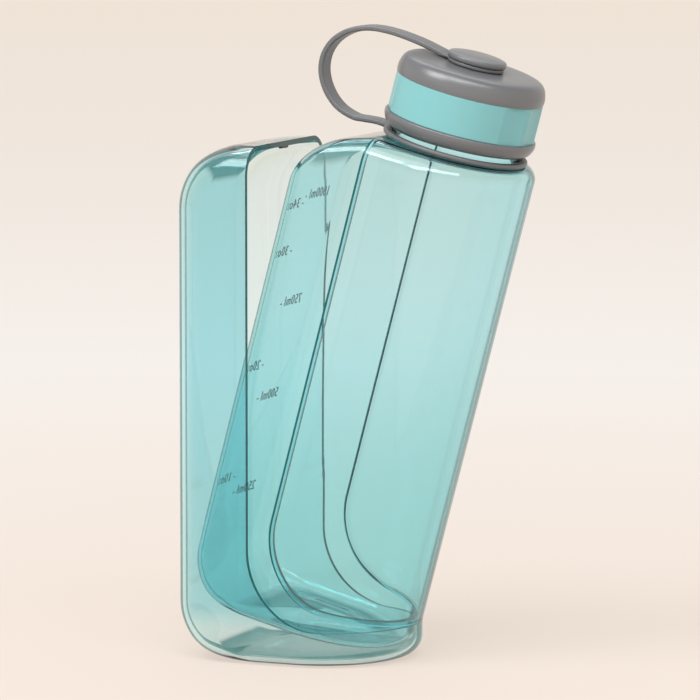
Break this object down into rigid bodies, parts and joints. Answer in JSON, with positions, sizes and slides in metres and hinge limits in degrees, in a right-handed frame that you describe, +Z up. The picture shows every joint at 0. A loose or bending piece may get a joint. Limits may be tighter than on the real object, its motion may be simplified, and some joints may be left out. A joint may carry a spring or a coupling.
{
  "type": "pet travel water bottle",
  "caption": "Flat-backed clear water bottle leaning in its tall fold-out drinking bowl with a rounded foot; wide screw cap kept on by a soft loop strap.",
  "frame": {"origin": "centre of the bowl's foot on the surface it stands on, midway between its back wall and its toe", "axes": "+Z up, +X from the bowl's back wall to its toe, +Y across the bowl"},
  "size_m": [0.1485, 0.082, 0.2624],
  "materials": {
    "bowl_plastic": "clear teal-tinted plastic, polished",
    "bottle_plastic": "clear teal-tinted plastic, polished",
    "band_plastic": "satin light teal plastic",
    "cap_grey": "satin grey plastic",
    "seal_rubber": "soft pale silicone",
    "tether_grey": "soft grey silicone"
  },
  "bodies": {
    "bowl_body": {"bowl": "bowl_plastic"},
    "bottle_body": {"bottle": "bottle_plastic", "tether_ring": "tether_grey", "tether_strap": "tether_grey"},
    "eye_body": {"tether_eye": "tether_grey"},
    "cap_body": {"cap_shell": "band_plastic", "cap_cover": "cap_grey", "cap_collar": "cap_grey", "cap_seal": "seal_rubber", "cap_button": "cap_grey"}
  },
  "joints": [
    {"name": "bottle_tilt", "type": "hinge", "parent": "bowl_body", "child": "bottle_body", "pos_m": [0.047, 0, 0.0144], "axis": [0, 1, 0], "range_deg": [-9.5, 10]},
    {"name": "cap_lift", "type": "slide", "parent": "bottle_body", "child": "eye_body", "axis": [0.2588, 0, 0.9659], "range_m": [0, 0.005], "deforming": ["tether_strap"]},
    {"name": "cap_turn", "type": "hinge", "parent": "eye_body", "child": "cap_body", "pos_m": [0.07084, 0, 0.23784], "axis": [0.2588, 0, 0.9659], "range_deg": [0, 450]}
  ],
  "couplings": [
    {"joint": "cap_lift", "follows": "cap_turn", "m_per_rad": 0.00063662}
  ]
}
